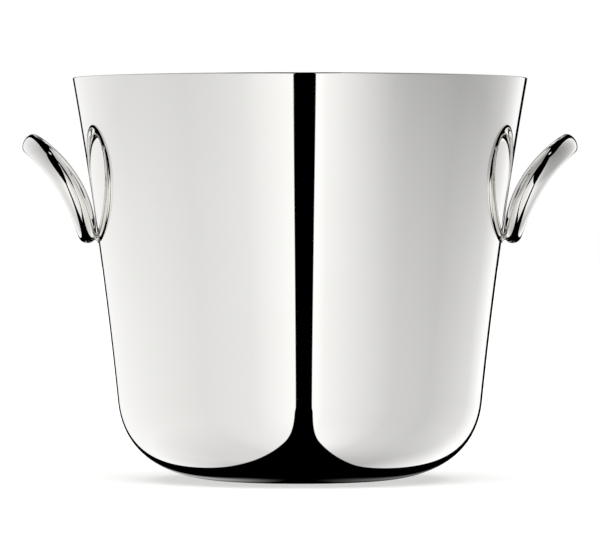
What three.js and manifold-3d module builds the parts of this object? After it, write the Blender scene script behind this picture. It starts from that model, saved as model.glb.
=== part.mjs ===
// A silver champagne bucket: a spun vessel with a flared wall, a softly rounded bottom,
// and two ring handles that are soldered on by their feet and curl outwards.
// Millimetres, +Z up. The origin is the middle of the flat base, and the handles lie along X.

import * as THREE from 'three';
import * as BufferGeometryUtils from 'three/addons/utils/BufferGeometryUtils.js';
import Module from 'manifold-3d';

// ---- Driving dimensions ----------------------------------------------------------------

const rimRadius = 115;
const bucketHeight = 203.6;
const wallThickness = 1.2;
const rimFlare = THREE.MathUtils.degToRad(10); // the wall's lean from vertical at the rim
const turnFlare = THREE.MathUtils.degToRad(5.8); // and where the rounded bottom begins
const turnRadius = 92.2; // the wall's radius where the rounded bottom begins
const turnHeight = 40;
const baseFlatRadius = 36; // the flat that the bucket stands on
const wallPull = 54.5; // how far each end's direction carries along the wall
const turnPull = 30.8;
const basePull = 26.5;

const ringHalfHeight = 28.3; // middle of the bar, before the ring is bent
const ringHalfWidth = 31.3;
const bendRadius = 70; // the cylinder that the ring is bent over
const barHalfWidth = 5.3; // half of the bar's oval, across the ring's plane
const barHalfDepth = 4.3; // half of the bar's oval, in the ring's plane
const footSlimming = 0.21; // how much narrower the bar is at its foot
const endSlimming = 0.18; // how much less deep the bar is at its top and its foot
const footLean = THREE.MathUtils.degToRad(8.3); // the ring's lean at its foot
const footHeight = 123.5;
const footToWall = 1.1; // filled by the solder pad

const padHalfLength = 6; // along the bar
const padHalfHeight = 3.4;
const seatGap = 0.3; // between a solder pad and what it is soldered to

const wallSegments = 64;
const wallSteps = 12;
const turnSteps = 9;
const lipSteps = 4;
const barSegments = 14;
const ringSegments = 44;
const padSegments = 24;
const mergeDistance = 1e-4;

// ---- Materials -------------------------------------------------------------------------

const silver = { color: 0xf3f2ef, metalness: 1, roughness: 0.06 };
const solder = { color: 0xd4d2cd, metalness: 1, roughness: 0.35 };

function metal({ color, metalness, roughness }) {
  return new THREE.MeshStandardMaterial({ color, metalness, roughness });
}

// ---- The bucket's outline --------------------------------------------------------------

// The half-round lip stands this much above the wall's outer edge.
const lipRise = (wallThickness / 2) * (1 + Math.sin(rimFlare));

const turnPoint = new THREE.Vector2(turnRadius, turnHeight);
const rimPoint = new THREE.Vector2(rimRadius, bucketHeight - lipRise);
const basePoint = new THREE.Vector2(baseFlatRadius, 0);

function along(point, lean, distance) {
  return new THREE.Vector2(
    point.x + distance * Math.sin(lean),
    point.y + distance * Math.cos(lean),
  );
}

const bottomCurve = new THREE.CubicBezierCurve(
  basePoint,
  new THREE.Vector2(baseFlatRadius + basePull, 0),
  along(turnPoint, turnFlare, -turnPull),
  turnPoint,
);

const wallCurve = new THREE.CubicBezierCurve(
  turnPoint,
  along(turnPoint, turnFlare, wallPull),
  along(rimPoint, rimFlare, -wallPull),
  rimPoint,
);

// Points of the outline from the base flat to the rim, moved outwards by an offset.
function outline(offset) {
  const points = [];
  const addCurve = (curve, first, steps) => {
    for (let step = first; step <= steps; step += 1) {
      const t = step / steps;
      const tangent = curve.getTangent(t);
      const outward = new THREE.Vector2(tangent.y, -tangent.x);
      points.push(curve.getPoint(t).addScaledVector(outward, offset));
    }
  };
  addCurve(bottomCurve, 0, turnSteps);
  addCurve(wallCurve, 1, wallSteps);
  return points;
}

function wallRadiusAt(height) {
  const points = outline(0);
  const above = points.findIndex((point) => point.y > height);
  const low = points[above - 1];
  const high = points[above];
  return THREE.MathUtils.mapLinear(height, low.y, high.y, low.x, high.x);
}

// A lathe turns about Y, so it is stood up to turn about Z.
function turned(profile) {
  return new THREE.LatheGeometry(profile, wallSegments).rotateX(Math.PI / 2);
}

// The wall is one sheet: up the outside, over a half-round lip, and down the inside.
function shellGeometry() {
  const outside = outline(0);
  const inside = outline(-wallThickness);
  const outerLip = outside.at(-1);
  const innerLip = inside.at(-1);
  const lipCentre = outerLip.clone().add(innerLip).multiplyScalar(0.5);
  const across = outerLip.clone().sub(lipCentre);
  const lip = [];
  for (let step = 1; step < lipSteps; step += 1) {
    const turn = (Math.PI * step) / lipSteps;
    lip.push(across.clone().rotateAround(new THREE.Vector2(), turn).add(lipCentre));
  }
  return turned([
    new THREE.Vector2(0, 0),
    ...outside,
    ...lip,
    ...inside.reverse(),
    new THREE.Vector2(0, wallThickness),
  ]);
}

// ---- The ring handles ------------------------------------------------------------------

// Middle of the bar at the foot, measured from the bucket's axis.
const footHalfWidth = barHalfWidth * (1 - footSlimming);
const footReach = wallRadiusAt(footHeight) + footToWall + footHalfWidth;

// The bend's axis runs along Y, below and outside the handle.
const bendAxis = new THREE.Vector2(
  footReach + bendRadius * Math.cos(footLean),
  footHeight - bendRadius * Math.sin(footLean),
);

// A flat ring with an oval bar, wrapped over the bend's cylinder so that it curls outwards.
// It stands on the +X side, and grow makes its bar fatter all round. The torus that it
// starts from has a bar of radius 1, so each vertex says how far out of the bar it is.
function handleGeometry(grow) {
  const ring = new THREE.TorusGeometry(ringHalfHeight, 1, barSegments, ringSegments);
  const position = ring.getAttribute('position');
  const point = new THREE.Vector3();
  for (let i = 0; i < position.count; i += 1) {
    point.fromBufferAttribute(position, i);
    const fromCentre = Math.hypot(point.x, point.y);
    const upwards = point.y / fromCentre;
    const sideways = point.x / fromCentre;
    const footShare = ((1 - upwards) / 2) ** 3;
    const halfWidth = barHalfWidth * (1 - footSlimming * footShare) + grow;
    const halfDepth = barHalfDepth * (1 - endSlimming * upwards ** 2) + grow;
    const outOfBar = (fromCentre - ringHalfHeight) * halfDepth;
    const climb = ringHalfHeight + (ringHalfHeight + outOfBar) * upwards;
    const angle = footLean + climb / bendRadius;
    const radius = bendRadius + point.z * halfWidth;
    position.setXYZ(
      i,
      bendAxis.x - radius * Math.cos(angle),
      -(ringHalfWidth + outOfBar) * sideways,
      bendAxis.y + radius * Math.sin(angle),
    );
  }
  return ring;
}

// ---- The solder pads -------------------------------------------------------------------

const wasm = await Module();
wasm.setup();

function solid(geometry) {
  const bare = geometry.clone();
  bare.deleteAttribute('normal');
  bare.deleteAttribute('uv');
  const merged = BufferGeometryUtils.mergeVertices(bare, mergeDistance);
  return new wasm.Manifold(
    new wasm.Mesh({
      numProp: 3,
      vertProperties: new Float32Array(merged.getAttribute('position').array),
      triVerts: new Uint32Array(merged.getIndex().array),
    }),
  );
}

function geometryOf(manifold) {
  const mesh = manifold.getMesh();
  const geometry = new THREE.BufferGeometry();
  geometry.setAttribute('position', new THREE.BufferAttribute(mesh.vertProperties, 3));
  geometry.setIndex(new THREE.BufferAttribute(mesh.triVerts, 1));
  geometry.computeVertexNormals();
  return geometry;
}

// An oval plug of solder between the wall and the foot of the +X handle, hollowed by both.
function padGeometry() {
  const wallFace = wallRadiusAt(footHeight);
  const depth = footToWall + footHalfWidth;
  const plug = new THREE.CylinderGeometry(1, 1, depth, padSegments)
    .rotateZ(Math.PI / 2)
    .scale(1, padHalfLength, padHalfHeight)
    .translate(wallFace + depth / 2, 0, footHeight);
  const bucket = turned([
    new THREE.Vector2(0, 0),
    ...outline(seatGap),
    new THREE.Vector2(0, bucketHeight),
  ]);
  return geometryOf(solid(plug).subtract(solid(bucket)).subtract(solid(handleGeometry(seatGap))));
}

// ---- Assembly --------------------------------------------------------------------------

const bucket = new THREE.Group();

function addPiece(name, geometry, finish) {
  const piece = new THREE.Mesh(geometry, metal(finish));
  piece.name = name;
  bucket.add(piece);
  return piece;
}

addPiece('bucket_shell', shellGeometry(), silver);

// Half a turn about the bucket's axis carries the +X handle to the other side.
const sides = [
  ['right', 0],
  ['left', Math.PI],
];
for (const [side, turn] of sides) {
  addPiece(`${side}_ring_handle`, handleGeometry(0), silver).rotation.z = turn;
  addPiece(`${side}_solder_pad`, padGeometry(), solder).rotation.z = turn;
}

export default bucket;
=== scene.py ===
# %% [markdown]
# # A silver champagne bucket
# The object is a wine cooler as a silversmith makes it: one sheet spun into a flared
# vessel, and two bent rings soldered on as handles. All of it is polished to a mirror.
# The CAD frame already says where every piece is, so it is loaded first and each new
# piece is made in the same place. Lengths below are written in millimetres and turned
# into metres by `MM`, because a workshop drawing is easier to check in millimetres.

# %% Load the frame
import math

import bmesh
import bpy
from mathutils import Matrix, Vector
from mathutils.geometry import interpolate_bezier


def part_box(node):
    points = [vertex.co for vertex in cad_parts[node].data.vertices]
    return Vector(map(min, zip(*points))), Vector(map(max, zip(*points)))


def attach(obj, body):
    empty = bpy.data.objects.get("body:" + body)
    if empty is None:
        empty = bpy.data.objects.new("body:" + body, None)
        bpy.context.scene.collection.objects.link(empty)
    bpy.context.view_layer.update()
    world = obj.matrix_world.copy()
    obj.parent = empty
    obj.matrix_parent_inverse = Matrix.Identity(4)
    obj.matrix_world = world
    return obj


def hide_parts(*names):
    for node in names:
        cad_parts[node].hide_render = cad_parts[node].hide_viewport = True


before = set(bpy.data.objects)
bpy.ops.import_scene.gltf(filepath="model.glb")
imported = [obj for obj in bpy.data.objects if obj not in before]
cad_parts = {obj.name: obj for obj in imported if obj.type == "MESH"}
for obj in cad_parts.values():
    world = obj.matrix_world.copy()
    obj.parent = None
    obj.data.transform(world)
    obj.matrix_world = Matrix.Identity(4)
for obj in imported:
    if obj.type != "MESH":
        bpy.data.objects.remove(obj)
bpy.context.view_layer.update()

MM = 0.001
_, shell_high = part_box("bucket_shell")
rim_radius = shell_high.x
bucket_height = shell_high.z
print("rim radius", round(rim_radius, 4), "height", round(bucket_height, 4))

# %% [markdown]
# ## Small helpers
# Colours are written as sRGB hex, the way a paint chart gives them, but shaders work in
# linear light, so one function converts them. A second adds a shader node with its
# settings and its inputs: an input that is another node's output becomes a link, and any
# other value is typed into the socket.


# %% Colour and node helpers
def linear(hex_colour):
    channels = [int(hex_colour[i : i + 2], 16) / 255 for i in (1, 3, 5)]
    bent = [c / 12.92 if c <= 0.04045 else ((c + 0.055) / 1.055) ** 2.4 for c in channels]
    return (*bent, 1.0)


def add_node(tree, kind, inputs=None, **settings):
    node = tree.nodes.new(kind)
    for name, value in settings.items():
        setattr(node, name, value)
    for socket, value in (inputs or {}).items():
        if isinstance(value, bpy.types.NodeSocket):
            tree.links.new(value, node.inputs[socket])
        else:
            node.inputs[socket].default_value = value
    return node


# %% [markdown]
# Each finished piece is an object at the origin with its place in its mesh, as the CAD
# nodes are. It rides on the one body, `root`, because nothing on this bucket moves. The
# helper also hides the faceted CAD solid that the smooth piece stands for.


# %% Turn a bmesh into a finished piece
def finish_piece(name, bm, materials, node):
    mesh = bpy.data.meshes.new(name)
    bm.to_mesh(mesh)
    bm.free()
    mesh.shade_smooth()
    for material in materials:
        mesh.materials.append(material)
    piece = bpy.data.objects.new(name, mesh)
    bpy.context.scene.collection.objects.link(piece)
    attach(piece, "root")
    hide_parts(node)
    print(name, len(mesh.polygons), "faces")
    return piece


# %% [markdown]
# ## Mirror-polished silver plate
# The vessel is brass, silver-plated and then buffed on a soft mop with rouge. Silver
# reflects about 96% of visible light, a touch warmer than white, so the metal is nearly
# white and takes all its light and dark from the room. Buffing leaves hairlines finer
# than 0.05 mm and a faint cloudiness where the mop pressed longer. The hairlines are
# drawn about 0.4 mm apart, coarser than they are, so that they can show at all.

# %% Silver plate, polished to a mirror
HAIRLINE = 0.4 * MM
ALONG_HAIRLINE = 0.06
MOP_CLOUD = 45 * MM
CLEAREST_POLISH = 0.008
CLOUDIEST_POLISH = 0.028


def silver_plate_mirror_polished():
    material = bpy.data.materials.new("silver_plate_mirror_polished")
    material.use_nodes = True
    tree = material.node_tree
    shader = tree.nodes["Principled BSDF"]
    place = add_node(tree, "ShaderNodeTexCoord").outputs["Object"]
    clouds = add_node(
        tree,
        "ShaderNodeTexNoise",
        {"Vector": place, "Scale": 1 / MOP_CLOUD, "Detail": 3.0, "Roughness": 0.55},
    )
    # The mop runs round the bucket, so the hairlines are stretched sideways.
    stretch = add_node(
        tree,
        "ShaderNodeMapping",
        {"Vector": place, "Scale": (ALONG_HAIRLINE, ALONG_HAIRLINE, 1.0)},
    )
    hairlines = add_node(
        tree,
        "ShaderNodeTexNoise",
        {"Vector": stretch.outputs[0], "Scale": 1 / HAIRLINE, "Detail": 2.0},
    )
    haze = add_node(
        tree,
        "ShaderNodeMapRange",
        {
            "Value": clouds.outputs["Fac"],
            "From Min": 0.35,
            "From Max": 0.75,
            "To Min": CLEAREST_POLISH,
            "To Max": CLOUDIEST_POLISH,
        },
    )
    tint = add_node(
        tree,
        "ShaderNodeMix",
        {
            "Factor": clouds.outputs["Fac"],
            "A": linear("#FDFCFA"),
            "B": linear("#FAF9F6"),
        },
        data_type="RGBA",
    )
    bump = add_node(
        tree,
        "ShaderNodeBump",
        {"Height": hairlines.outputs["Fac"], "Strength": 0.02, "Distance": 0.02 * MM},
    )
    tree.links.new(tint.outputs["Result"], shader.inputs["Base Color"])
    tree.links.new(haze.outputs["Result"], shader.inputs["Roughness"])
    tree.links.new(bump.outputs["Normal"], shader.inputs["Normal"])
    shader.inputs["Metallic"].default_value = 1.0
    return material


mirror_silver = silver_plate_mirror_polished()

# %% [markdown]
# ## The spun inside
# The inside is left as it came off the spinning lathe and was lightly satined: fine
# rings run round it, about 0.8 mm apart, and the reflection is soft. The rings follow
# height on the wall and radius on the floor, so their pattern reads the sum of the two.

# %% Silver plate, satined on the lathe
LATHE_RING = 0.8 * MM
SMOOTHEST_SATIN = 0.22
ROUGHEST_SATIN = 0.4


def silver_plate_satin_spun():
    material = bpy.data.materials.new("silver_plate_satin_spun")
    material.use_nodes = True
    tree = material.node_tree
    shader = tree.nodes["Principled BSDF"]
    place = add_node(tree, "ShaderNodeTexCoord").outputs["Object"]
    axes = add_node(tree, "ShaderNodeSeparateXYZ", {"Vector": place})
    flat = add_node(tree, "ShaderNodeCombineXYZ", {"X": axes.outputs["X"], "Y": axes.outputs["Y"]})
    radius = add_node(
        tree, "ShaderNodeVectorMath", {0: flat.outputs[0]}, operation="LENGTH"
    )
    run = add_node(
        tree, "ShaderNodeMath", {0: radius.outputs["Value"], 1: axes.outputs["Z"]}, operation="ADD"
    )
    across = add_node(tree, "ShaderNodeCombineXYZ", {"X": run.outputs[0]})
    rings = add_node(
        tree,
        "ShaderNodeTexNoise",
        {"Vector": across.outputs[0], "Scale": 1 / LATHE_RING, "Detail": 3.0},
    )
    softness = add_node(
        tree,
        "ShaderNodeMapRange",
        {"Value": rings.outputs["Fac"], "To Min": SMOOTHEST_SATIN, "To Max": ROUGHEST_SATIN},
    )
    bump = add_node(
        tree,
        "ShaderNodeBump",
        {"Height": rings.outputs["Fac"], "Strength": 0.25, "Distance": 0.05 * MM},
    )
    tree.links.new(softness.outputs["Result"], shader.inputs["Roughness"])
    tree.links.new(bump.outputs["Normal"], shader.inputs["Normal"])
    shader.inputs["Base Color"].default_value = linear("#F7F6F3")
    shader.inputs["Metallic"].default_value = 1.0
    return material


satin_silver = silver_plate_satin_spun()

# %% [markdown]
# ## Filed silver solder
# Where a handle meets the wall, the smith runs in silver solder, files it back to a
# small hollow fillet and buffs it as far as the mop reaches. It stays a little greyer and
# softer than the plate round it, with low ripples under a millimetre wide.

# %% Silver solder, filed and buffed
SOLDER_RIPPLE = 0.9 * MM
BUFFED_SOLDER = 0.1
FILED_SOLDER = 0.3


def silver_solder_filed():
    material = bpy.data.materials.new("silver_solder_filed")
    material.use_nodes = True
    tree = material.node_tree
    shader = tree.nodes["Principled BSDF"]
    place = add_node(tree, "ShaderNodeTexCoord").outputs["Object"]
    ripples = add_node(
        tree,
        "ShaderNodeTexNoise",
        {"Vector": place, "Scale": 1 / SOLDER_RIPPLE, "Detail": 3.0},
    )
    dullness = add_node(
        tree,
        "ShaderNodeMapRange",
        {"Value": ripples.outputs["Fac"], "To Min": BUFFED_SOLDER, "To Max": FILED_SOLDER},
    )
    bump = add_node(
        tree,
        "ShaderNodeBump",
        {"Height": ripples.outputs["Fac"], "Strength": 0.5, "Distance": 0.15 * MM},
    )
    tree.links.new(dullness.outputs["Result"], shader.inputs["Roughness"])
    tree.links.new(bump.outputs["Normal"], shader.inputs["Normal"])
    shader.inputs["Base Color"].default_value = linear("#E6E4DF")
    shader.inputs["Metallic"].default_value = 1.0
    return material


filed_solder = silver_solder_filed()

# %% [markdown]
# ## The vessel's outline
# A spinner presses a brass disc over a turned block, so half an outline says everything.
# It is two smooth curves that meet without a corner: the rounded bottom, from the flat
# that the bucket stands on up to the turn, and the wall, which leans 5.8 degrees at the
# turn and 10 degrees at the rim. `interpolate_bezier` gives points along such a curve
# from its two ends and two handles, as the pen tool does.

# %% Half an outline, in metres
SHEET = 1.2 * MM
RIM_LEAN = math.radians(10)
TURN_LEAN = math.radians(5.8)
TURN_RADIUS = 92.2 * MM
TURN_HEIGHT = 40 * MM
BASE_FLAT = 36 * MM

# How far each curve's handles reach from its ends.
WALL_PULL = 54.5 * MM
TURN_PULL = 30.8 * MM
BASE_PULL = 26.5 * MM

CURVE_POINTS = 49
FLAT_RING_SHARES = (0, 0.35, 0.7, 0.9)

# The smooth surfaces stay this much inside the faceted frame's outermost points.
SNUG = 0.02 * MM

lip_rise = SHEET / 2 * (1 + math.sin(RIM_LEAN))
rim = Vector((rim_radius - SNUG, 0, bucket_height - lip_rise - SNUG))
turn = Vector((TURN_RADIUS, 0, TURN_HEIGHT))
base = Vector((BASE_FLAT, 0, 0))


def leaning(lean):
    return Vector((math.sin(lean), 0, math.cos(lean)))


bottom = interpolate_bezier(
    base,
    base + Vector((BASE_PULL, 0, 0)),
    turn - TURN_PULL * leaning(TURN_LEAN),
    turn,
    CURVE_POINTS,
)
wall = interpolate_bezier(
    turn,
    turn + WALL_PULL * leaning(TURN_LEAN),
    rim - WALL_PULL * leaning(RIM_LEAN),
    rim,
    CURVE_POINTS,
)
base_rings = [Vector((BASE_FLAT * share, 0, 0)) for share in FLAT_RING_SHARES]
lip_corner = rim + SHEET / 2 * leaning(RIM_LEAN)
outline = base_rings + bottom + wall[1:] + [lip_corner]
print("outline points", len(outline))

# %% [markdown]
# ## The vessel
# `spin` turns the outline about the bucket's axis, as the lathe does. The full turn is
# merged, and so is the ring of points that landed on the axis. Only then are the normals
# made to agree and the wall given its thickness by `solidify`, because on a closed shell
# the inner wall would be turned round. A mirror shows every flat, so the turn takes 288
# steps. The two sharp edges of the lip are rounded over by `bevel`.

# %% Spin the vessel, thicken it, round its lip
AROUND = 288
LIP_ROUNDING = 0.48 * SHEET
LIP_STEPS = 6
SAME_POINT = 0.001 * MM
NEAR_CORNER = 0.05 * MM


def edge_loop_at(bm, corner):
    """Edges of the level ring that a corner of the outline was spun into."""
    ring = set()
    for v in bm.verts:
        on_outline = Vector((v.co.xy.length, 0, v.co.z))
        if (on_outline - corner).length < NEAR_CORNER:
            ring.add(v)
    return [e for e in bm.edges if ring.issuperset(e.verts)]


def bucket_shell():
    bm = bmesh.new()
    verts = [bm.verts.new(point) for point in outline]
    edges = [bm.edges.new(pair) for pair in zip(verts, verts[1:])]
    bmesh.ops.spin(
        bm,
        geom=verts + edges,
        axis=(0, 0, 1),
        cent=(0, 0, 0),
        angle=2 * math.pi,
        steps=AROUND,
        use_merge=True,
    )
    bmesh.ops.remove_doubles(bm, verts=bm.verts, dist=SAME_POINT)
    bmesh.ops.recalc_face_normals(bm, faces=bm.faces)
    underside = min(bm.faces, key=lambda face: face.calc_center_median().length)
    if underside.normal.z > 0:
        bmesh.ops.reverse_faces(bm, faces=bm.faces)
    outer_faces = set(bm.faces)
    bmesh.ops.solidify(bm, geom=list(bm.faces), thickness=SHEET)
    for face in bm.faces:
        face.material_index = 0 if face in outer_faces else 1
    inwards = Vector((-math.cos(RIM_LEAN), 0, math.sin(RIM_LEAN)))
    inner_corner = lip_corner + SHEET * inwards
    lip_edges = edge_loop_at(bm, lip_corner) + edge_loop_at(bm, inner_corner)
    print("lip edges", len(lip_edges), "of", 2 * AROUND)
    bmesh.ops.bevel(
        bm,
        geom=lip_edges,
        offset=LIP_ROUNDING,
        segments=LIP_STEPS,
        profile=0.5,
        affect="EDGES",
        material=-1,
    )
    return bm


finish_piece(
    "bucket_shell_spun",
    bucket_shell(),
    [mirror_silver, satin_silver],
    "bucket_shell",
)

# %% [markdown]
# ## The ring handles
# Each handle is an oval bar bent into a ring, and the ring is then bent once more over a
# round former, so that it stands on its foot and curls away from the wall. The steps
# here are the same: a circle squeezed to the bar's oval, a full `spin` to close the ring,
# and then every point wrapped over the former. The former is a cylinder along Y whose
# place follows from the ring's foot, where its lean and lowest point are: the foot's lean, its
# height and its gap to the wall.

# %% Bend a ring and stand it on its foot
RING_HALF_HEIGHT = 28.3 * MM
RING_HALF_WIDTH = 31.3 * MM
FORMER_RADIUS = 70 * MM
BAR_HALF_WIDTH = 5.3 * MM
BAR_HALF_DEPTH = 4.3 * MM
FOOT_SLIMMING = 0.21
END_SLIMMING = 0.18
FOOT_LEAN = math.radians(8.3)
FOOT_HEIGHT = 123.5 * MM
FOOT_TO_WALL = 1.1 * MM
BAR = 1 * MM
BAR_STEPS = 48
RING_STEPS = 192


def wall_radius_at(height):
    above = next(i for i, point in enumerate(wall) if point.z > height)
    low, high = wall[above - 1], wall[above]
    return low.lerp(high, (height - low.z) / (high.z - low.z)).x


wall_at_foot = wall_radius_at(FOOT_HEIGHT)
foot_reach = wall_at_foot + FOOT_TO_WALL + BAR_HALF_WIDTH * (1 - FOOT_SLIMMING)
former = Vector(
    (
        foot_reach + FORMER_RADIUS * math.cos(FOOT_LEAN),
        0,
        FOOT_HEIGHT - FORMER_RADIUS * math.sin(FOOT_LEAN),
    )
)
print("wall at the foot", round(wall_at_foot, 5), "foot reach", round(foot_reach, 5))


def wrap_over_former(point):
    """Shapes the bar at a point of the round ring in the YZ plane, then wraps it on the former."""
    from_centre = math.hypot(point.y, point.z)
    upwards = point.z / from_centre
    sideways = point.y / from_centre
    half_width = BAR_HALF_WIDTH * (1 - FOOT_SLIMMING * ((1 - upwards) / 2) ** 3) - SNUG
    half_depth = BAR_HALF_DEPTH * (1 - END_SLIMMING * upwards**2)
    out_of_bar = (from_centre - RING_HALF_HEIGHT) / BAR * half_depth
    climb = RING_HALF_HEIGHT + (RING_HALF_HEIGHT + out_of_bar) * upwards
    angle = FOOT_LEAN + climb / FORMER_RADIUS
    radius = FORMER_RADIUS + point.x / BAR * half_width
    return Vector(
        (
            former.x - radius * math.cos(angle),
            (RING_HALF_WIDTH + out_of_bar) * sideways,
            former.z + radius * math.sin(angle),
        )
    )


def ring_handle(side):
    bm = bmesh.new()
    bar = bmesh.ops.create_circle(bm, segments=BAR_STEPS, radius=BAR)["verts"]
    bmesh.ops.translate(bm, verts=bar, vec=(0, RING_HALF_HEIGHT, 0))
    bmesh.ops.spin(
        bm,
        geom=list(bm.verts) + list(bm.edges),
        axis=(1, 0, 0),
        cent=(0, 0, 0),
        angle=2 * math.pi,
        steps=RING_STEPS,
        use_merge=True,
    )
    for v in bm.verts:
        v.co = wrap_over_former(v.co)
    if side < 0:
        bmesh.ops.rotate(bm, verts=bm.verts, matrix=Matrix.Rotation(math.pi, 3, "Z"))
    bmesh.ops.remove_doubles(bm, verts=bm.verts, dist=SAME_POINT)
    bmesh.ops.recalc_face_normals(bm, faces=bm.faces)
    return bm


for side_name, side in (("right", 1), ("left", -1)):
    finish_piece(
        f"{side_name}_ring_handle_bent",
        ring_handle(side),
        [mirror_silver],
        f"{side_name}_ring_handle",
    )

# %% [markdown]
# ## The solder
# The fillet is a short waisted plug, wide where it wets the wall and narrow where it
# reaches the bar. It is a stack of ovals from just inside the sheet to just inside the
# bar, joined by `bridge_loops`. Its ends are hidden in the metal that they join.

# %% Run in the solder
# Distance from the wall, half length along the bar and half height, in millimetres.
SOLDER_OVALS = (
    (-0.5, 6.0, 3.5),
    (0.0, 5.9, 3.3),
    (0.35, 5.2, 2.6),
    (0.8, 4.8, 2.15),
    (1.4, 4.6, 1.9),
    (2.2, 4.4, 1.7),
)


def solder_pad(side):
    bm = bmesh.new()
    ends = (SOLDER_OVALS[0], SOLDER_OVALS[-1])
    rings = []
    for oval in SOLDER_OVALS:
        away, half_length, half_height = (value * MM for value in oval)
        made = bmesh.ops.create_circle(
            bm, segments=BAR_STEPS, radius=1.0, cap_ends=oval in ends
        )
        shape = Matrix.Diagonal((half_height, half_length, 1, 1))
        upright = Matrix.Rotation(math.radians(-90), 4, "Y")
        place = Matrix.Translation((wall_at_foot + away, 0, FOOT_HEIGHT))
        bmesh.ops.transform(bm, matrix=place @ upright @ shape, verts=made["verts"])
        members = set(made["verts"])
        rings.append([e for e in bm.edges if members.issuperset(e.verts)])
    for lower, upper in zip(rings, rings[1:]):
        bmesh.ops.bridge_loops(bm, edges=lower + upper)
    if side < 0:
        bmesh.ops.rotate(bm, verts=bm.verts, matrix=Matrix.Rotation(math.pi, 3, "Z"))
    bmesh.ops.recalc_face_normals(bm, faces=bm.faces)
    return bm


for side_name, side in (("right", 1), ("left", -1)):
    finish_piece(
        f"{side_name}_solder_fillet",
        solder_pad(side),
        [filed_solder],
        f"{side_name}_solder_pad",
    )

# %% [markdown]
# ## The room that the silver reflects
# A mirror has no colour of its own, so lighting it means building what it sees. A
# silverware photographer stands a tall white panel on each side and leaves a narrow slit
# between them for the lens: that slit is the black line down the middle of the bucket.
# Beyond the panels' rounded edges the room is dark, which draws the thin dark outlines.
# That room is made here as the world's background, worked out from the direction alone:
# azimuth is 0 towards the camera and grows to the right, elevation is 0 at the level, and
# both are in degrees.

# %% Direction into azimuth and elevation
world = bpy.data.worlds.new("silver_studio")
bpy.context.scene.world = world
world.use_nodes = True
room = world.node_tree

direction = add_node(room, "ShaderNodeTexCoord").outputs["Generated"]
towards = add_node(room, "ShaderNodeSeparateXYZ", {"Vector": direction}).outputs
ahead = add_node(room, "ShaderNodeMath", {0: towards["Y"], 1: -1.0}, operation="MULTIPLY")
turned = add_node(
    room, "ShaderNodeMath", {0: towards["X"], 1: ahead.outputs[0]}, operation="ARCTAN2"
)
azimuth = add_node(room, "ShaderNodeMath", {0: turned.outputs[0]}, operation="DEGREES").outputs[0]
raised = add_node(room, "ShaderNodeMath", {0: towards["Z"]}, operation="ARCSINE")
elevation = add_node(room, "ShaderNodeMath", {0: raised.outputs[0]}, operation="DEGREES").outputs[0]
off_lens = add_node(room, "ShaderNodeMath", {0: azimuth}, operation="ABSOLUTE").outputs[0]

# %% [markdown]
# The slit sits a little right of the lens, and the dark gap behind the bucket a little left
# of straight back, so the azimuth is shifted by an amount that runs from one to the other.
# The top of the wall stands further out than its foot and sees the slit a little wider, so
# the slit's half width grows from 4.8 to 5.4 degrees with the angle that the wall looks
# down. Each margin below is above 0 on a panel and below 0 off it.

# %% The slit and the far edges
SLIT_MIDDLE = 2.6
SLIT_HALF_LOW = 4.8
SLIT_HALF_HIGH = 5.4
FAR_EDGE = 163.0
FAR_GAP_SHIFT = 1.5
WALL_FOOT_LOOKS = -14.0
WALL_TOP_LOOKS = -18.5

shift = add_node(
    room,
    "ShaderNodeMapRange",
    {"Value": off_lens, "From Max": FAR_EDGE, "To Min": SLIT_MIDDLE, "To Max": -FAR_GAP_SHIFT},
)
skewed = add_node(
    room, "ShaderNodeMath", {0: azimuth, 1: shift.outputs["Result"]}, operation="SUBTRACT"
).outputs[0]
off_slit = add_node(room, "ShaderNodeMath", {0: skewed}, operation="ABSOLUTE").outputs[0]
slit_half = add_node(
    room,
    "ShaderNodeMapRange",
    {
        "Value": elevation,
        "From Min": WALL_FOOT_LOOKS,
        "From Max": WALL_TOP_LOOKS,
        "To Min": SLIT_HALF_LOW,
        "To Max": SLIT_HALF_HIGH,
    },
    interpolation_type="SMOOTHSTEP",
).outputs["Result"]
past_slit = add_node(room, "ShaderNodeMath", {0: off_slit, 1: slit_half}, operation="SUBTRACT")
slit_margin = add_node(room, "ShaderNodeMath", {0: past_slit.outputs[0]}, operation="RADIANS")
before_far = add_node(room, "ShaderNodeMath", {0: FAR_EDGE, 1: off_slit}, operation="SUBTRACT")
far_margin = add_node(room, "ShaderNodeMath", {0: before_far.outputs[0]}, operation="RADIANS")

# %% [markdown]
# On the floor the two panels stop at straight edges that run past the bucket, nearer to
# each other in front than behind. Seen from the bucket, such an edge is where the sideways
# part of a direction equals a fixed share of its downward part. A smooth minimum of this
# margin and the upright edges' rounds the corners where they meet, as curved paper does.

# %% The floor edges
FLOOR_GAP_HALF = 0.231
FLOOR_GAP_NARROWING = -0.1
FLOOR_GAP_LEAN = 0.035
CORNER_ROUNDING = 0.25
EDGE_SOFTNESS = 0.003

downward = add_node(room, "ShaderNodeMapRange", {"Value": towards["Z"], "From Max": -1.0})
narrowed = add_node(
    room, "ShaderNodeMath", {0: ahead.outputs[0], 1: FLOOR_GAP_NARROWING}, operation="MULTIPLY"
)
gap_half = add_node(
    room,
    "ShaderNodeMath",
    {0: downward.outputs["Result"], 1: FLOOR_GAP_HALF, 2: narrowed.outputs[0]},
    operation="MULTIPLY_ADD",
)
gap_middle = add_node(
    room, "ShaderNodeMath", {0: ahead.outputs[0], 1: FLOOR_GAP_LEAN}, operation="MULTIPLY"
)
off_gap = add_node(
    room, "ShaderNodeMath", {0: towards["X"], 1: gap_middle.outputs[0]}, operation="SUBTRACT"
)
gap_distance = add_node(room, "ShaderNodeMath", {0: off_gap.outputs[0]}, operation="ABSOLUTE")
gap_margin = add_node(
    room,
    "ShaderNodeMath",
    {0: gap_distance.outputs[0], 1: gap_half.outputs[0]},
    operation="SUBTRACT",
)
margin = gap_margin
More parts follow.
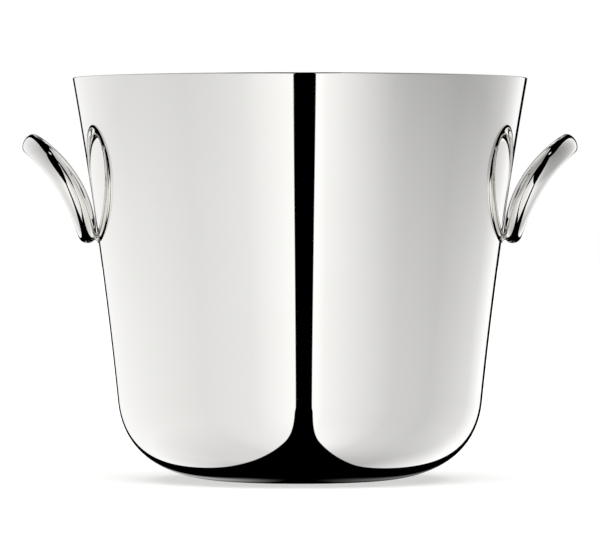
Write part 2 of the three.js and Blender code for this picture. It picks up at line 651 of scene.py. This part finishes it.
for upright_margin in (slit_margin, far_margin):
    margin = add_node(
        room,
        "ShaderNodeMath",
        {0: margin.outputs[0], 1: upright_margin.outputs[0], 2: CORNER_ROUNDING},
        operation="SMOOTH_MIN",
    )
past_low_edges = add_node(
    room,
    "ShaderNodeMapRange",
    {"Value": margin.outputs[0], "From Min": -EDGE_SOFTNESS, "From Max": EDGE_SOFTNESS},
    interpolation_type="SMOOTHSTEP",
)

# %% [markdown]
# The top and far edges are those of a rounded rectangle: the sum of two powers is below 1
# inside it. One share grows from 0 in the middle of a panel to 1 at its far edge; the other
# grows from 0 a little below the level to 1 at the panel's top.

# %% The top and far edges
PANEL_TOP = 64.0
ROUNDING_FROM = -20.0
CORNER_POWER = 2.9
CORNER_SOFTNESS = 0.015

across = add_node(
    room,
    "ShaderNodeMapRange",
    {"Value": off_slit, "From Min": SLIT_HALF_LOW, "From Max": FAR_EDGE, "To Min": -1.0},
    clamp=False,
)
upwards = add_node(
    room,
    "ShaderNodeMapRange",
    {"Value": elevation, "From Min": ROUNDING_FROM, "From Max": PANEL_TOP, "To Max": 1.0},
    clamp=False,
)
powers = []
for share in (across, upwards):
    clipped = add_node(
        room, "ShaderNodeMath", {0: share.outputs["Result"], 1: 0.0}, operation="MAXIMUM"
    )
    power = add_node(
        room, "ShaderNodeMath", {0: clipped.outputs[0], 1: CORNER_POWER}, operation="POWER"
    )
    powers.append(power.outputs[0])
roundness = add_node(room, "ShaderNodeMath", {0: powers[0], 1: powers[1]}, operation="ADD")
inside_corners = add_node(
    room,
    "ShaderNodeMapRange",
    {
        "Value": roundness.outputs[0],
        "From Min": 1.0 + CORNER_SOFTNESS,
        "From Max": 1.0 - CORNER_SOFTNESS,
    },
    interpolation_type="SMOOTHSTEP",
)
on_panel = add_node(
    room,
    "ShaderNodeMath",
    {0: past_low_edges.outputs["Result"], 1: inside_corners.outputs["Result"]},
    operation="MULTIPLY",
)

# %% [markdown]
# Above the level the panels lean apart over the lens, so the slit opens like a V. Its
# middle leans to the left as it rises, and its half width grows by two thirds of a degree
# for each degree of height.

# %% The slit opens above the level
V_HALF_OPENING = 0.68
V_LEAN = 0.27
V_SOFTNESS = 0.5
ZENITH = 90.0

lean = add_node(
    room,
    "ShaderNodeMapRange",
    {"Value": elevation, "From Max": ZENITH, "To Max": ZENITH * V_LEAN},
)
v_off_middle = add_node(
    room, "ShaderNodeMath", {0: skewed, 1: lean.outputs["Result"]}, operation="ADD"
)
v_distance = add_node(room, "ShaderNodeMath", {0: v_off_middle.outputs[0]}, operation="ABSOLUTE")
v_half = add_node(
    room,
    "ShaderNodeMapRange",
    {
        "Value": elevation,
        "From Max": ZENITH,
        "To Min": SLIT_HALF_LOW,
        "To Max": SLIT_HALF_LOW + ZENITH * V_HALF_OPENING,
    },
)
past_v = add_node(
    room,
    "ShaderNodeMath",
    {0: v_distance.outputs[0], 1: v_half.outputs["Result"]},
    operation="SUBTRACT",
)
outside_v = add_node(
    room,
    "ShaderNodeMapRange",
    {"Value": past_v.outputs[0], "From Min": -V_SOFTNESS, "From Max": V_SOFTNESS},
    interpolation_type="SMOOTHSTEP",
)

# %% [markdown]
# Light falls off across each panel. Both are brightest at their ends, beside the slit and
# behind the bucket, where the lamps stand. The right one is turned further away, so it is
# greyer in its middle. Near the floor the lamps behind no longer reach, and the panels
# only get darker from the slit to the back. Each list goes round the room, from behind on
# the left to behind on the right, as (azimuth, grey). The greys are as the silver shows
# them, and the polished plate gives back about 93% of the light.

# %% How bright the panels are
GREYS_AT_WALL_LEVEL = (
    (-155, "#F5F5F5"),  # the left panel's far end
    (-62, "#DCDCDC"),  # its middle
    (-30, "#E2E2E2"),
    (-6, "#F7F7F7"),  # beside the slit
    (9, "#FEFEFE"),  # the right panel, beside the slit
    (15, "#F0F0F0"),
    (60, "#CCCCCC"),  # its middle
    (90, "#C6C6C6"),
    (130, "#DCDCDC"),
    (152, "#FDFDFD"),  # its far end
    (167, "#FDFDFD"),
    (173, "#989898"),  # the greyer backdrop behind it
)
GREYS_NEAR_FLOOR = (
    (-157, "#B9B9B9"),  # the left panel's far end
    (-135, "#D1D1D1"),
    (-62, "#D5D5D5"),  # its middle
    (-10, "#EEEEEE"),  # beside the slit
    (16, "#F9F9F9"),  # the right panel, beside the slit
    (60, "#D3D3D3"),  # its middle
    (156, "#AFAFAF"),  # its far end
)
WALL_GREYS_FROM = -27.0
FLOOR_GREYS_TO = -60.0


def fill_round_room(ramp, stops):
    """Writes (azimuth, colour) stops into a colour ramp that spans the full turn."""
    while len(ramp.elements) > 1:
        ramp.elements.remove(ramp.elements[-1])
    for number, (where, colour) in enumerate(stops):
        place = (where + 180) / 360
        stop = ramp.elements[0] if number == 0 else ramp.elements.new(place)
        stop.position = place
        stop.color = colour


share_round = add_node(
    room, "ShaderNodeMapRange", {"Value": azimuth, "From Min": -180.0, "From Max": 180.0}
).outputs["Result"]
greys_round = []
for stops in (GREYS_AT_WALL_LEVEL, GREYS_NEAR_FLOOR):
    greys = add_node(room, "ShaderNodeValToRGB", {"Fac": share_round})
    fill_round_room(greys.color_ramp, [(where, linear(grey)) for where, grey in stops])
    greys_round.append(greys.outputs["Color"])
near_floor = add_node(
    room,
    "ShaderNodeMapRange",
    {"Value": elevation, "From Min": WALL_GREYS_FROM, "From Max": FLOOR_GREYS_TO},
)
panel_greys = add_node(
    room,
    "ShaderNodeMix",
    {
        "Factor": near_floor.outputs["Result"],
        "A": greys_round[0],
        "B": greys_round[1],
    },
    data_type="RGBA",
)

# %% [markdown]
# The panels are lit from low down, so they dim above the level, to 0.65 at their top edge.
# The factor here is also the lift that makes up for what the silver swallows.

# %% How much light leaves the panels
SILVER_SHARE = 0.93
DIM_AT_TOP = 0.65

dimming = add_node(
    room,
    "ShaderNodeMapRange",
    {
        "Value": elevation,
        "From Max": PANEL_TOP,
        "To Min": 1 / SILVER_SHARE,
        "To Max": DIM_AT_TOP / SILVER_SHARE,
    },
)
panels_lit = add_node(
    room,
    "ShaderNodeMath",
    {0: on_panel.outputs[0], 1: outside_v.outputs["Result"]},
    operation="MULTIPLY",
)
panel_strength = add_node(
    room,
    "ShaderNodeMath",
    {0: panels_lit.outputs[0], 1: dimming.outputs["Result"]},
    operation="MULTIPLY",
)

# %% [markdown]
# Two small lights finish the room. A pale backdrop behind the bucket shows beyond the
# panels as a strip that fades towards the floor, and puts a thin bright line outside the
# dark outline; its middle is dark where the bucket itself would be in the way. A small
# round softbox overhead is seen only by what looks straight up.

# %% Backdrop strip and overhead softbox
STRIP_FROM = 175.0
STRIP_SOFTNESS = 1.0
GAP_EDGE = 176.5
GAP_MIDDLE = 179.0
GAP_TOP = -5.0
GAP_TOP_SOFTNESS = 1.0
STRIP_FADED = -33.0
STRIP_BRIGHT = -10.0
STRIP_TOP = 30.0
STRIP_TOP_SOFTNESS = 2.0
STRIP_STRENGTH = 0.55
OVERHEAD_FROM = 85.0
OVERHEAD_SOFTNESS = 3.0
OVERHEAD_STRENGTH = 1.6

behind = add_node(
    room,
    "ShaderNodeMapRange",
    {
        "Value": off_lens,
        "From Min": STRIP_FROM - STRIP_SOFTNESS,
        "From Max": STRIP_FROM + STRIP_SOFTNESS,
    },
)
in_gap = add_node(
    room,
    "ShaderNodeMapRange",
    {"Value": off_lens, "From Min": GAP_EDGE, "From Max": GAP_MIDDLE},
)
above_gap = add_node(
    room,
    "ShaderNodeMapRange",
    {
        "Value": elevation,
        "From Min": GAP_TOP - GAP_TOP_SOFTNESS,
        "From Max": GAP_TOP + GAP_TOP_SOFTNESS,
    },
)
gap_open = add_node(
    room,
    "ShaderNodeMath",
    {0: above_gap.outputs["Result"], 1: in_gap.outputs["Result"]},
    operation="SUBTRACT",
)
beside_gap = add_node(
    room, "ShaderNodeMath", {0: gap_open.outputs[0], 1: 1.0}, operation="ADD", use_clamp=True
)
over_floor = add_node(
    room,
    "ShaderNodeMapRange",
    {
        "Value": elevation,
        "From Min": STRIP_FADED,
        "From Max": STRIP_BRIGHT,
        "To Max": STRIP_STRENGTH,
    },
    interpolation_type="SMOOTHSTEP",
)
under_top = add_node(
    room,
    "ShaderNodeMapRange",
    {
        "Value": elevation,
        "From Min": STRIP_TOP + STRIP_TOP_SOFTNESS,
        "From Max": STRIP_TOP - STRIP_TOP_SOFTNESS,
    },
)
strip = behind.outputs["Result"]
for part in (beside_gap.outputs[0], over_floor.outputs["Result"], under_top.outputs["Result"]):
    strip = add_node(room, "ShaderNodeMath", {0: strip, 1: part}, operation="MULTIPLY").outputs[0]
overhead = add_node(
    room,
    "ShaderNodeMapRange",
    {
        "Value": elevation,
        "From Min": OVERHEAD_FROM,
        "From Max": OVERHEAD_FROM + OVERHEAD_SOFTNESS,
        "To Max": OVERHEAD_STRENGTH,
    },
    interpolation_type="SMOOTHSTEP",
)
small_lights = add_node(
    room, "ShaderNodeMath", {0: strip, 1: overhead.outputs["Result"]}, operation="MAXIMUM"
)
all_lights = add_node(
    room,
    "ShaderNodeMath",
    {0: panel_strength.outputs[0], 1: small_lights.outputs[0]},
    operation="MAXIMUM",
)
background = room.nodes["Background"]
room.links.new(panel_greys.outputs["Result"], background.inputs["Color"])
room.links.new(all_lights.outputs[0], background.inputs["Strength"])

# %% [markdown]
# ## Table and backdrop
# The bucket stands on a plain white table that runs out of sight, and a white dome closes
# the view behind it. A silver wall would mirror that table all over, so both are left out
# of reflections, where the room above stands in for them. The table glows a little, as
# thin white plastic lit from below does, so the shadow on it stays faint.


# %% Table and dome
MATT = 0.9
STAGE_RADIUS = 9.0
STAGE_STEPS = 96
TABLE_DROP = 0.2 * MM
TABLE_GLOW = 0.45


def plain_material(name, hex_colour, glow):
    material = bpy.data.materials.new(name)
    material.use_nodes = True
    shader = material.node_tree.nodes["Principled BSDF"]
    shader.inputs["Base Color"].default_value = linear(hex_colour)
    shader.inputs["Roughness"].default_value = MATT
    shader.inputs["Specular IOR Level"].default_value = 0.0
    shader.inputs["Emission Color"].default_value = (1, 1, 1, 1)
    shader.inputs["Emission Strength"].default_value = glow
    return material


def stage_piece(name, bm, material):
    mesh = bpy.data.meshes.new(name)
    bm.to_mesh(mesh)
    bm.free()
    mesh.shade_smooth()
    mesh.materials.append(material)
    piece = bpy.data.objects.new(name, mesh)
    bpy.context.scene.collection.objects.link(piece)
    piece.visible_glossy = False
    piece.visible_diffuse = False
    return piece


bm = bmesh.new()
bmesh.ops.create_circle(bm, cap_ends=True, segments=STAGE_STEPS, radius=STAGE_RADIUS)
bmesh.ops.translate(bm, verts=bm.verts, vec=(0, 0, -TABLE_DROP))
stage_piece("white_table", bm, plain_material("matt_white_laminate", "#BEBEBD", TABLE_GLOW))

bm = bmesh.new()
bmesh.ops.create_uvsphere(
    bm, u_segments=STAGE_STEPS, v_segments=STAGE_STEPS // 2, radius=STAGE_RADIUS
)
dome = stage_piece("white_dome", bm, plain_material("white_paper_backdrop", "#000000", 1.0))
dome.visible_shadow = False

# %% [markdown]
# ## The scrim
# A world has no distance, so the top and the foot of the wall would mirror the same light.
# Real panels stand close by: the top of the wall sees them higher up, where they are
# dimmer. A scrim, the grey gauze that photographers hang in front of a lamp, gives that
# back. It is an open cylinder half a metre from the bucket's axis, seen only in
# reflections, clear from just below the table down, denser and denser upwards, and densest
# on the right. The list says what share of the light it swallows at its densest, as
# (azimuth, share).

# %% Hang the scrim
SCRIM_RADIUS = 0.5
SCRIM_HEIGHT = 2.0
SCRIM_CLEAR_BELOW = -60 * MM
SCRIM_DENSE_ABOVE = 115 * MM
SCRIM_STEEPNESS = 2.0
SCRIM_DENSITIES = (
    (-145, 0.04),
    (-100, 0.15),  # beside the bucket on the left
    (-40, 0.12),
    (-20, 0.0),  # none in front, round the lens
    (15, 0.0),
    (45, 0.38),
    (100, 0.32),  # beside the bucket on the right
    (140, 0.07),
)


def graded_gauze():
    material = bpy.data.materials.new("graded_grey_gauze")
    material.use_nodes = True
    tree = material.node_tree
    place = add_node(tree, "ShaderNodeTexCoord").outputs["Object"]
    axes = add_node(tree, "ShaderNodeSeparateXYZ", {"Vector": place}).outputs
    ahead = add_node(tree, "ShaderNodeMath", {0: axes["Y"], 1: -1.0}, operation="MULTIPLY")
    turned = add_node(
        tree, "ShaderNodeMath", {0: axes["X"], 1: ahead.outputs[0]}, operation="ARCTAN2"
    )
    share_round = add_node(
        tree,
        "ShaderNodeMapRange",
        {"Value": turned.outputs[0], "From Min": -math.pi, "From Max": math.pi},
    )
    density = add_node(tree, "ShaderNodeValToRGB", {"Fac": share_round.outputs["Result"]})
    greys = [(where, (share, share, share, 1.0)) for where, share in SCRIM_DENSITIES]
    fill_round_room(density.color_ramp, greys)
    rise = add_node(
        tree,
        "ShaderNodeMapRange",
        {"Value": axes["Z"], "From Min": SCRIM_CLEAR_BELOW, "From Max": SCRIM_DENSE_ABOVE},
    )
    steepened = add_node(
        tree, "ShaderNodeMath", {0: rise.outputs["Result"], 1: SCRIM_STEEPNESS}, operation="POWER"
    )
    swallowed = add_node(
        tree,
        "ShaderNodeMath",
        {0: density.outputs["Color"], 1: steepened.outputs[0]},
        operation="MULTIPLY",
    )
    let_through = add_node(
        tree, "ShaderNodeMath", {0: 1.0, 1: swallowed.outputs[0]}, operation="SUBTRACT"
    )
    clear = add_node(tree, "ShaderNodeBsdfTransparent", {"Color": let_through.outputs[0]})
    output = tree.nodes["Material Output"]
    tree.links.new(clear.outputs["BSDF"], output.inputs["Surface"])
    tree.nodes.remove(tree.nodes["Principled BSDF"])
    return material


bm = bmesh.new()
bmesh.ops.create_cone(
    bm,
    segments=STAGE_STEPS,
    radius1=SCRIM_RADIUS,
    radius2=SCRIM_RADIUS,
    depth=SCRIM_HEIGHT,
)
scrim = stage_piece("lamp_scrim", bm, graded_gauze())
scrim.visible_glossy = True
scrim.visible_camera = False
scrim.visible_shadow = False

# %% [markdown]
# ## Light
# The table is lit by one very wide, soft sun from above and slightly in front. A sun
# lights the whole table alike, so it is as white at the horizon as it is near by, and its
# width leaves only a faint shadow to stand in. It stays out of reflections, where a lamp
# would be a hard bright patch on smooth silver.

# %% One wide soft sun
SUN_STRENGTH = 4.2
SUN_WIDTH = math.radians(80)
SUN_TILT = math.radians(12)

sun_data = bpy.data.lights.new("wide_soft_sun", "SUN")
sun_data.energy = SUN_STRENGTH
sun_data.angle = SUN_WIDTH
sun = bpy.data.objects.new("wide_soft_sun", sun_data)
bpy.context.scene.collection.objects.link(sun)
sun.rotation_euler = (SUN_TILT, 0, 0)
sun.visible_glossy = False
bpy.context.scene.view_settings.view_transform = "Standard"

# %% [markdown]
# ## Camera
# A long lens from 2.6 m keeps the wall's sides nearly true. It stands below the rim, so
# the near lip hides the inside, and looks down by less than a degree at the middle of
# the bucket. The focal length makes the rim span three quarters of the picture.

# %% Camera
CAMERA_DISTANCE = 2.6
CAMERA_HEIGHT = 139.6 * MM
RIM_SHARE = 0.7573
FULL_FRAME_WIDTH = 36
SIGHT_LIMIT = 40

camera_data = bpy.data.cameras.new("camera")
camera_data.sensor_width = FULL_FRAME_WIDTH
camera_data.lens = (
    RIM_SHARE
    * FULL_FRAME_WIDTH
    * math.sqrt(CAMERA_DISTANCE**2 - rim_radius**2)
    / (2 * rim_radius)
)
camera_data.clip_end = SIGHT_LIMIT
camera = bpy.data.objects.new("camera", camera_data)
bpy.context.scene.collection.objects.link(camera)
camera.location = (0, -CAMERA_DISTANCE, CAMERA_HEIGHT)
aim = Vector((0, 0, bucket_height / 2))
camera.rotation_euler = (aim - camera.location).to_track_quat("-Z", "Y").to_euler()
bpy.context.scene.camera = camera
print("lens", round(camera_data.lens, 1), "mm")
